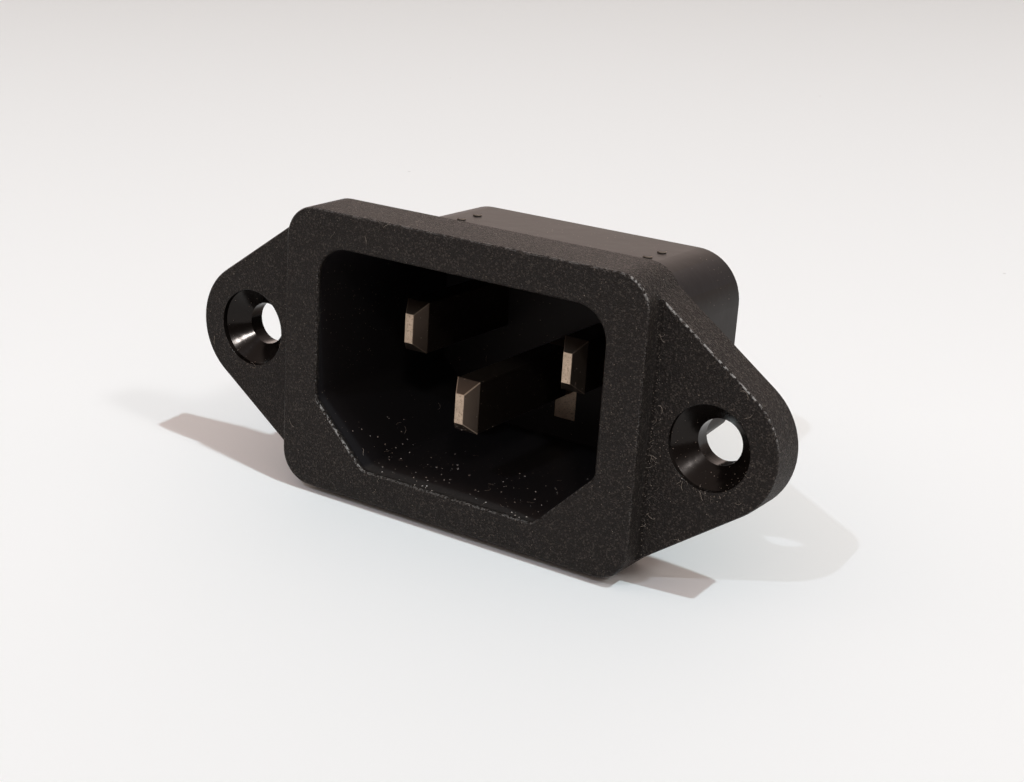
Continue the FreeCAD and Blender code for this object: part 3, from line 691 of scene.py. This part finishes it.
class INLET_OT_dress_housing(bpy.types.Operator):
    """Give the moulded housing its spark-textured nylon"""

    bl_idname = "inlet.dress_housing"
    bl_label = "Housing"

    def execute(self, context):
        dress(HOUSING, spark_textured_nylon(context.scene.inlet_finish))
        return {"FINISHED"}


class INLET_OT_dress_contacts(bpy.types.Operator):
    """Give the line, neutral and earth pins their nickel plating"""

    bl_idname = "inlet.dress_contacts"
    bl_label = "Contacts"

    def execute(self, context):
        finish = context.scene.inlet_finish
        for name in (*LIVE_PINS, EARTH_PIN):
            dress(name, nickel_plated_brass(name, finish))
        return {"FINISHED"}


class INLET_OT_scatter_specks(bpy.types.Operator):
    """Scatter dust specks over the front, the ears, the cavity's floor and the top"""

    bl_idname = "inlet.scatter_specks"
    bl_label = "Dust specks"

    def execute(self, context):
        finish = context.scene.inlet_finish
        chance = random.Random(SPECK_SEED)
        flakes = [model_flake(seed) for seed in (1, 2, 3)]
        size, count = finish.speck_size, finish.speck_count
        dust = household_dust("settled_dust", finish.dark_dust, finish.dust)
        settle(flakes, "dust_on_front",
               drops_on_front(chance, count, size) + drops_at_roots(chance, count // 3, size)
               + drops_round_countersinks(chance, count // 5, size), dust)
        settle(flakes, "dust_in_cavity", drops_in_cavity(chance, count * 2 // 5, size * 1.9),
               household_dust("loose_flakes", finish.dust, finish.pale_dust_and_highlight))
        settle(flakes, "dust_on_top", drops_on_top(chance, count // 4, size), dust)
        for flake in flakes:
            bpy.data.objects.remove(flake)
        return {"FINISHED"}


class INLET_OT_lay_lint(bpy.types.Operator):
    """Lay short lint fibres on the texture and the cavity's floor"""

    bl_idname = "inlet.lay_lint"
    bl_label = "Lint"

    def execute(self, context):
        finish = context.scene.inlet_finish
        chance = random.Random(LINT_SEED)
        width = finish.lint_width / finish.lint_length
        fibres = [model_fibre(bends, width) for bends in FIBRE_BENDS]
        size, count = finish.lint_length, finish.lint_count
        lint = household_dust("cotton_lint", finish.dark_dust, finish.dust)
        settle(fibres, "lint_on_front",
               drops_on_front(chance, count // 2, size) + drops_at_roots(chance, count // 4, size)
               + drops_round_countersinks(chance, count // 5, size), lint)
        settle(fibres, "lint_in_cavity", drops_in_cavity(chance, count // 4, size), lint)
        for fibre in fibres:
            bpy.data.objects.remove(fibre)
        return {"FINISHED"}


class INLET_OT_build_stage(bpy.types.Operator):
    """Build the table, the lamps, the room's light and the camera"""

    bl_idname = "inlet.build_stage"
    bl_label = "Stage"

    def execute(self, context):
        stage = context.scene.inlet_stage
        lean = lean_angle()
        build_table(stage, lean)
        build_lamps(stage, lean)
        build_room(stage)
        build_camera(stage)
        return {"FINISHED"}


# Stage


def lean_angle():
    """How far the socket leans back when it stands on its flange: the rear body's lower edge meets the table."""
    low = HOUSING_LOW.z
    points = [v.co for v in frame["nodes"][HOUSING].data.vertices if v.co.y > 1 * MM]
    return min(math.atan2(p.z - low, p.y) for p in points)


def build_table(stage, lean):
    """The table top, tilted so that the socket stands on its flange and leans back on its body."""
    deselect()
    bpy.ops.mesh.primitive_plane_add(size=TABLE_SIZE)
    table = bpy.context.object
    table.name = "table"
    table.matrix_world = Matrix.Translation((0, 0, HOUSING_LOW.z)) @ Matrix.Rotation(lean, 4, "X")
    bpy.ops.object.transform_apply()
    table.data.materials.append(pale_laminate(stage))


def build_lamps(stage, lean):
    """Four lamps, aimed in the table's own directions: to the right, away and up. The ceiling lamp only glints on
    smooth plastic and lights nothing. The widths are in degrees."""
    turn = Matrix.Rotation(lean, 3, "X")
    lamps = (
        ("key", stage.key_strength, "#e2f7ff", (0.465, 0.02, 0.885), 1.5),
        ("front", stage.front_strength, "#e0eeff", (-0.10, -0.60, 0.80), 1.0),
        ("side", stage.side_strength, "#ffffff", (0.745, -0.04, 0.685), 6.0),
        ("ceiling", stage.ceiling_strength, "#ffffff", (0.474, -0.578, 0.666), 4.0),
    )
    for name, strength, tint, towards, width in lamps:
        light = bpy.data.lights.new(name, "SUN")
        light.energy = strength
        light.color = linear(tint)[:3]
        light.angle = math.radians(width)
        lamp = bpy.data.objects.new(name, light)
        lamp.matrix_world = (turn @ Vector(towards)).to_track_quat("Z", "Y").to_matrix().to_4x4()
        bpy.context.scene.collection.objects.link(lamp)
        lamp.visible_diffuse = name != "ceiling"


def build_room(stage):
    """Light from the room: a pale wall low behind the socket, a dim doorway to its right, and a shaded front."""
    world = bpy.data.worlds.new("room")
    world.use_nodes = True
    tree = world.node_tree
    tree.nodes.clear()
    way = add_node(tree, "ShaderNodeTexCoord").outputs["Generated"]
    split = add_node(tree, "ShaderNodeSeparateXYZ", links={0: way})
    behind = add_node(tree, "ShaderNodeMapRange",
                      {"From Min": 0.3, "From Max": 0.8, "interpolation_type": "SMOOTHSTEP"},
                      {"Value": split.outputs["Y"]})
    low = add_node(tree, "ShaderNodeMapRange",
                   {"From Min": 0.6, "From Max": 0.25, "interpolation_type": "SMOOTHSTEP"},
                   {"Value": split.outputs["Z"]})

    # the pale wall: low, behind and to the left
    left = add_node(tree, "ShaderNodeMapRange",
                    {"From Min": 0.5, "From Max": -0.3, "interpolation_type": "SMOOTHSTEP"},
                    {"Value": split.outputs["X"]})
    low_behind = add_node(tree, "ShaderNodeMath", {"operation": "MULTIPLY"},
                          {0: behind.outputs["Result"], 1: low.outputs["Result"]})
    wall = add_node(tree, "ShaderNodeMath", {"operation": "MULTIPLY"},
                    {0: low_behind.outputs[0], 1: left.outputs["Result"]})
    lit = add_node(tree, "ShaderNodeMapRange", {"To Min": 0.92, "To Max": 3.3}, {"Value": wall.outputs[0]})

    # the dim doorway: behind, to the right and off the floor
    right = add_node(tree, "ShaderNodeMapRange",
                     {"From Min": -0.1, "From Max": 0.3, "interpolation_type": "SMOOTHSTEP"},
                     {"Value": split.outputs["X"]})
    doorway = add_node(tree, "ShaderNodeMath", {"operation": "MULTIPLY"},
                       {0: behind.outputs["Result"], 1: right.outputs["Result"]})
    raised = add_node(tree, "ShaderNodeMapRange",
                      {"From Min": 0.0, "From Max": 0.45, "interpolation_type": "SMOOTHSTEP"},
                      {"Value": split.outputs["Z"]})
    opening = add_node(tree, "ShaderNodeMath", {"operation": "MULTIPLY"},
                       {0: doorway.outputs[0], 1: raised.outputs["Result"]})
    light = add_node(tree, "ShaderNodeMix", {3: 0.3}, {0: opening.outputs[0], 2: lit.outputs["Result"]})

    # the shaded front: low and before the socket
    in_front = add_node(tree, "ShaderNodeMapRange",
                        {"From Min": -0.1, "From Max": -0.6, "interpolation_type": "SMOOTHSTEP"},
                        {"Value": split.outputs["Y"]})
    shaded = add_node(tree, "ShaderNodeMath", {"operation": "MULTIPLY"},
                      {0: in_front.outputs["Result"], 1: low.outputs["Result"]})
    room = add_node(tree, "ShaderNodeMix", {3: 0.2}, {0: shaded.outputs[0], 2: light.outputs[0]})
    strength = add_node(tree, "ShaderNodeMath", {"operation": "MULTIPLY", 1: stage.room_strength}, {0: room.outputs[0]})
    background = add_node(tree, "ShaderNodeBackground", {"Color": stage.room_tint}, {"Strength": strength.outputs[0]})
    add_node(tree, "ShaderNodeOutputWorld", links={"Surface": background.outputs[0]})
    bpy.context.scene.world = world


def build_camera(stage):
    """The camera, placed round its target by azimuth, elevation and distance, then rolled."""
    azimuth, elevation = stage.azimuth, stage.elevation
    back = Vector((math.sin(azimuth) * math.cos(elevation), -math.cos(azimuth) * math.cos(elevation),
                   math.sin(elevation)))
    level = Vector((math.cos(azimuth), math.sin(azimuth), 0))
    upright = back.cross(level)
    right = level * math.cos(stage.roll) + upright * math.sin(stage.roll)
    up = upright * math.cos(stage.roll) - level * math.sin(stage.roll)
    camera = bpy.data.cameras.new("camera")
    camera.lens = stage.lens
    camera.clip_start = 5 * MM
    camera.shift_x, camera.shift_y = CAMERA_SHIFT_X, CAMERA_SHIFT_Y
    eye = bpy.data.objects.new("camera", camera)
    eye.matrix_world = (Matrix.Translation(CAMERA_TARGET + back * stage.distance)
                        @ Matrix((right, up, back)).transposed().to_4x4())
    bpy.context.scene.collection.objects.link(eye)
    bpy.context.scene.camera = eye
    bpy.context.scene.view_settings.view_transform = "Standard"


class INLET_PT_panel(bpy.types.Panel):
    """Lists the steps that dress the socket"""

    bl_idname = "INLET_PT_panel"
    bl_label = "C14 panel inlet"
    bl_space_type = "VIEW_3D"
    bl_region_type = "UI"
    bl_category = "Inlet"

    def draw(self, context):
        layout = self.layout
        for step in STEPS:
            layout.operator(step.bl_idname)
        for group in (context.scene.inlet_finish, context.scene.inlet_stage):
            box = layout.box()
            for name in group.bl_rna.properties.keys():
                if name not in ("rna_type", "name"):
                    box.prop(group, name)


STEPS = (INLET_OT_dress_housing, INLET_OT_dress_contacts, INLET_OT_scatter_specks, INLET_OT_lay_lint,
         INLET_OT_build_stage)
CLASSES = (InletFinish, InletStage, *STEPS, INLET_PT_panel)


def register():
    for cls in CLASSES:
        bpy.utils.register_class(cls)
    bpy.types.Scene.inlet_finish = bpy.props.PointerProperty(type=InletFinish)
    bpy.types.Scene.inlet_stage = bpy.props.PointerProperty(type=InletStage)


def unregister():
    del bpy.types.Scene.inlet_stage
    del bpy.types.Scene.inlet_finish
    for cls in reversed(CLASSES):
        bpy.utils.unregister_class(cls)


def main():
    register()
    bpy.ops.inlet.dress_housing()
    bpy.ops.inlet.dress_contacts()
    bpy.ops.inlet.scatter_specks()
    bpy.ops.inlet.lay_lint()
    bpy.ops.inlet.build_stage()


if __name__ == "__main__":
    main()
